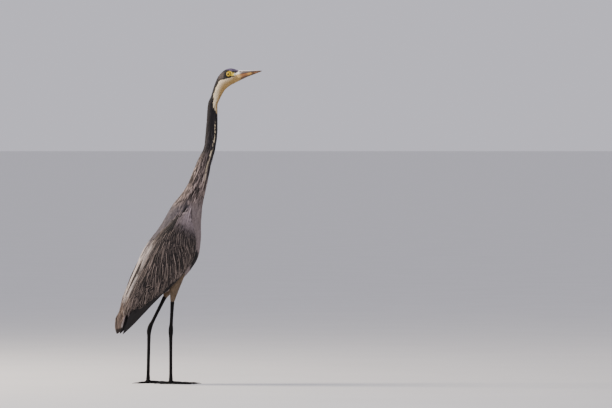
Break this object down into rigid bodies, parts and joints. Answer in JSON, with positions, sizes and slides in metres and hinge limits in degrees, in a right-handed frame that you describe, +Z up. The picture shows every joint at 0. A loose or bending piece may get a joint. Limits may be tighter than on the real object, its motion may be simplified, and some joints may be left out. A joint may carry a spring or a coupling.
{
  "type": "black-headed heron, still life-size model",
  "caption": "Life-size still model of an adult heron standing alert, neck stretched up and head turned to its right.",
  "frame": {"origin": "on the floor under the middle of the bird's bounding box", "axes": "+X is where the body faces, +Y is the bird's left, +Z is up"},
  "size_m": [0.3992, 0.2172, 0.9096],
  "materials": {
    "grey_plumage": "slate-grey feathers of the body and wings, with paler streaks",
    "black_plumage": "black feathers of the cap and the wing tips",
    "neck_plumage": "white throat, black neck fading to streaked grey",
    "tail_plumage": "grey tail feathers",
    "upper_bill": "horn, dark above with a satin sheen",
    "lower_bill": "horn, yellowish brown with a satin sheen",
    "eye": "wet yellow iris with a black pupil",
    "leg_skin": "black scaly skin",
    "claw": "dark horn"
  },
  "bodies": {
    "root": {"bill_lower": "lower_bill", "bill_upper": "upper_bill", "claw_hind_left": "claw", "claw_hind_right": "claw", "claw_inner_left": "claw", "claw_inner_right": "claw", "claw_middle_left": "claw", "claw_middle_right": "claw", "claw_outer_left": "claw", "claw_outer_right": "claw", "eye_left": "eye", "eye_right": "eye", "foot_left": "leg_skin", "foot_right": "leg_skin", "head": "black_plumage", "leg_left": "leg_skin", "leg_right": "leg_skin", "neck": "neck_plumage", "primaries_left": "black_plumage", "primaries_right": "black_plumage", "tail": "tail_plumage", "thigh_left": "grey_plumage", "thigh_right": "grey_plumage", "trunk": "grey_plumage", "wing_left": "grey_plumage", "wing_right": "grey_plumage"}
  },
  "joints": []
}
